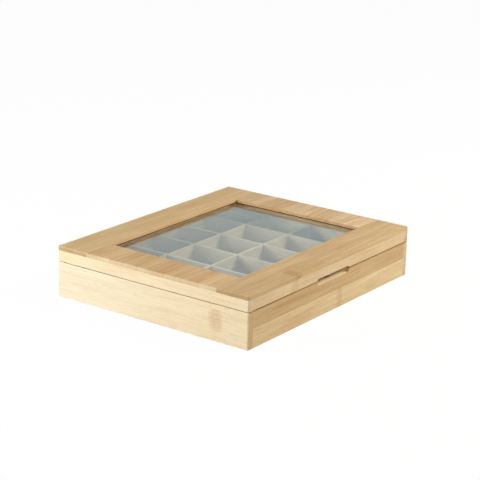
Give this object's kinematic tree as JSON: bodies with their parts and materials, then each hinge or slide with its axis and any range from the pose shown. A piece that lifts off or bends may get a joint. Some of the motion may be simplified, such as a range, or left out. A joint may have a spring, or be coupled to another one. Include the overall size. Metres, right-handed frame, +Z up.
{
  "type": "capsule organizer box",
  "caption": "Low rectangular bamboo box with a hinged, glazed lid, a finger notch in the front and a grid of thin dividers that makes open cells for coffee capsules.",
  "frame": {"origin": "middle of the underside", "axes": "+X to the right along the front, +Y to the back where the hinges are, +Z up"},
  "size_m": [0.31, 0.256, 0.0578],
  "materials": {
    "bamboo_base": "clear satin lacquer on edge-laminated bamboo",
    "bamboo_lid": "clear satin lacquer on bamboo strip",
    "bamboo_top": "clear satin lacquer on laminated bamboo strips",
    "bamboo_floor": "bare bamboo sheet",
    "bamboo_divider": "bare pale bamboo slats",
    "clear_glass": "clear float glass with ground edges",
    "brass": "brass-plated steel"
  },
  "bodies": {
    "base": {"base_front_wall": "bamboo_base", "base_back_wall": "bamboo_base", "base_left_wall": "bamboo_base", "base_right_wall": "bamboo_base", "base_floor": "bamboo_floor", "long_divider_1": "bamboo_divider", "long_divider_2": "bamboo_divider", "long_divider_3": "bamboo_divider", "cross_divider_1": "bamboo_divider", "cross_divider_2": "bamboo_divider", "cross_divider_3": "bamboo_divider", "cross_divider_4": "bamboo_divider", "cross_divider_5": "bamboo_divider", "left_hinge_base_leaf": "brass", "right_hinge_base_leaf": "brass", "left_hinge_pin": "brass", "right_hinge_pin": "brass", "base_hinge_screws": "brass"},
    "lid": {"lid_front_rail": "bamboo_lid", "lid_back_rail": "bamboo_lid", "lid_left_rail": "bamboo_lid", "lid_right_rail": "bamboo_lid", "top_front_board": "bamboo_top", "top_back_board": "bamboo_top", "top_left_board": "bamboo_top", "top_right_board": "bamboo_top", "window_glass": "clear_glass", "glass_bead_front": "bamboo_lid", "glass_bead_back": "bamboo_lid", "glass_bead_left": "bamboo_lid", "glass_bead_right": "bamboo_lid", "left_hinge_lid_leaf": "brass", "right_hinge_lid_leaf": "brass", "lid_hinge_screws": "brass"}
  },
  "joints": [
    {"name": "lid_hinge", "type": "hinge", "parent": "base", "child": "lid", "pos_m": [0, 0.126, 0.0402], "axis": [-1, 0, 0], "range_deg": [0, 100]}
  ]
}
